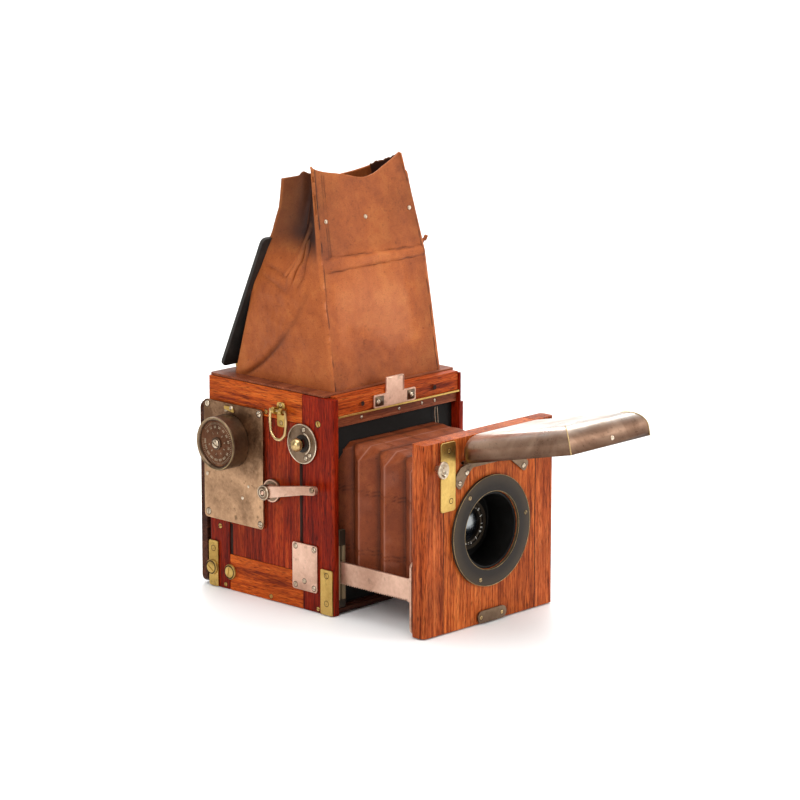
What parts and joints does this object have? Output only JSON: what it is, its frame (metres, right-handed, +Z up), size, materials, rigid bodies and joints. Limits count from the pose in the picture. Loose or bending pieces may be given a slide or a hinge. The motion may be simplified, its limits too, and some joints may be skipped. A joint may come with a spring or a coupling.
{
  "type": "single-lens reflex plate camera",
  "caption": "Tropical hardwood reflex plate camera, lens board racked out on leather bellows, folding viewing hood up, lens cover raised.",
  "frame": {"origin": "middle of the underside of the wooden body", "axes": "+Z up towards the hood; -Y is where the lens points, +Y towards the plate back; +X to the right seen from the front, so the side with the dial and lever is -X"},
  "size_m": [0.1772, 0.3539, 0.33],
  "materials": {
    "teak": "French-polished red-brown hardwood, vertical grain",
    "teak_pale": "French-polished orange-brown hardwood",
    "teak_dark": "polished hardwood, darker stain",
    "brass": "lacquered brass, worn",
    "nickel": "nickel on brass, warm patina",
    "patina": "nickel on brass, brown patina",
    "blacked": "satin black lacquer",
    "bellows_leather": "red-brown bellows leather",
    "hood_leather": "brown hood leather, cracked",
    "cloth": "black rubberised shutter cloth",
    "glass": "ground or clear glass",
    "silver": "silvered mirror glass"
  },
  "bodies": {
    "camera_body": {"side_wall_left": "teak", "side_wall_right": "teak", "base_board": "teak_pale", "back_panel": "teak", "top_front_rail": "teak_pale", "front_lip": "teak_dark", "hood_ledge": "hood_leather", "screen_frame": "blacked", "ground_glass": "glass", "front_mask": "blacked", "rack_guide_left": "blacked", "rack_guide_right": "blacked", "tripod_bush": "brass", "catch_plate": "nickel", "shutter_plate": "patina", "release_escutcheon": "patina", "rack_cover": "nickel", "strap_front_left": "brass", "strap_front_right": "brass", "strap_rear_left": "brass", "strap_rear_right": "brass", "lug_left": "brass", "lug_right": "brass", "lid_hinge": "brass", "bellows": "bellows_leather", "hood": "hood_leather", "curtain": "cloth", "turntable_ring": "brass"},
    "lens_board": {"board_panel": "teak", "board_stile_left": "teak_dark", "board_stile_right": "teak_dark", "lens_flange": "blacked", "lens_cup": "blacked", "lens_barrel": "blacked", "iris": "blacked", "front_glass": "glass", "hinge_plate": "patina", "latch_strip": "brass", "lower_catch": "nickel", "rack_left": "nickel", "rack_right": "nickel"},
    "focus_shaft": {"pinion_shaft": "brass", "focus_knob": "brass"},
    "iris_collar": {"iris_ring": "blacked"},
    "lens_cover": {"lens_flap": "patina"},
    "board_latch": {"turn_knob": "nickel"},
    "hood_lid": {"lid": "hood_leather"},
    "reflex_mirror": {"mirror_frame": "blacked", "mirror_glass": "silver"},
    "mirror_handle": {"mirror_lever": "nickel"},
    "tension_dial": {"speed_dial": "patina"},
    "release_knob": {"release_button": "brass"},
    "strap_ring_left": {"d_ring_left": "brass"},
    "strap_ring_right": {"d_ring_right": "brass"},
    "upper_roller": {"roller_top": "teak_pale", "winding_key": "brass"},
    "lower_roller": {"roller_bottom": "teak_pale"},
    "revolving_back": {"plate_back": "teak"},
    "dark_slide": {"plate_holder": "teak_dark"},
    "slide_sheath": {"draw_slide": "patina"}
  },
  "joints": [
    {"name": "focus_slide", "type": "slide", "parent": "camera_body", "child": "lens_board", "axis": [0, -1, 0], "range_m": [-0.074, 0], "deforming": ["bellows"]},
    {"name": "focus_pinion", "type": "hinge", "parent": "camera_body", "child": "focus_shaft", "pos_m": [0, -0.0525, 0.0186], "axis": [1, 0, 0], "range_deg": [-720, 10]},
    {"name": "iris_turn", "type": "hinge", "parent": "lens_board", "child": "iris_collar", "pos_m": [0, -0.1345, 0.0697], "axis": [0, 1, 0], "range_deg": [-60, 60]},
    {"name": "cover_hinge", "type": "hinge", "parent": "lens_board", "child": "lens_cover", "pos_m": [0, -0.1601, 0.126], "axis": [1, 0, 0], "range_deg": [0, 102.5]},
    {"name": "latch_turn", "type": "hinge", "parent": "lens_board", "child": "board_latch", "pos_m": [-0.059, -0.1615, 0.1255], "axis": [0, 1, 0], "range_deg": [0, 90]},
    {"name": "lid_hinge_turn", "type": "hinge", "parent": "camera_body", "child": "hood_lid", "pos_m": [0, 0.063, 0.168], "axis": [1, 0, 0], "range_deg": [0, 66], "deforming": ["hood"]},
    {"name": "mirror_swing", "type": "hinge", "parent": "camera_body", "child": "reflex_mirror", "pos_m": [0, 0.0455, 0.127], "axis": [1, 0, 0], "range_deg": [-45, 0]},
    {"name": "mirror_handle_turn", "type": "hinge", "parent": "camera_body", "child": "mirror_handle", "pos_m": [-0.075, -0.0035, 0.086], "axis": [1, 0, 0], "range_deg": [0, 30]},
    {"name": "tension_dial_turn", "type": "hinge", "parent": "camera_body", "child": "tension_dial", "pos_m": [-0.08, 0.0405, 0.1175], "axis": [1, 0, 0], "range_deg": [-150, 150]},
    {"name": "release_press", "type": "slide", "parent": "camera_body", "child": "release_knob", "axis": [1, 0, 0], "range_m": [0, 0.0025], "stiffness_N_per_m": 400},
    {"name": "ring_left_swing", "type": "hinge", "parent": "camera_body", "child": "strap_ring_left", "pos_m": [-0.0756, -0.0135, 0.149], "axis": [0, 1, 0], "range_deg": [0, 100]},
    {"name": "ring_right_swing", "type": "hinge", "parent": "camera_body", "child": "strap_ring_right", "pos_m": [0.0756, -0.0135, 0.149], "axis": [0, 1, 0], "range_deg": [-100, 0]},
    {"name": "upper_roller_turn", "type": "hinge", "parent": "camera_body", "child": "upper_roller", "pos_m": [0, 0.0535, 0.133], "axis": [1, 0, 0], "range_deg": [-720, 720]},
    {"name": "lower_roller_turn", "type": "hinge", "parent": "camera_body", "child": "lower_roller", "pos_m": [0, 0.0535, 0.013], "axis": [1, 0, 0], "range_deg": [-740, 740]},
    {"name": "back_revolve", "type": "hinge", "parent": "camera_body", "child": "revolving_back", "pos_m": [0, 0.0725, 0.0718], "axis": [0, 1, 0], "range_deg": [-90, 0]},
    {"name": "dark_slide_shift", "type": "slide", "parent": "revolving_back", "child": "dark_slide", "axis": [1, 0, 0], "range_m": [0, 0.125]},
    {"name": "sheath_draw", "type": "slide", "parent": "dark_slide", "child": "slide_sheath", "axis": [1, 0, 0], "range_m": [0, 0.11]}
  ],
  "couplings": [
    {"joint": "focus_pinion", "follows": "focus_slide", "rad_per_m": 166.67},
    {"joint": "mirror_handle_turn", "follows": "mirror_swing", "ratio": -0.66667},
    {"joint": "lower_roller_turn", "follows": "upper_roller_turn", "ratio": 1}
  ]
}
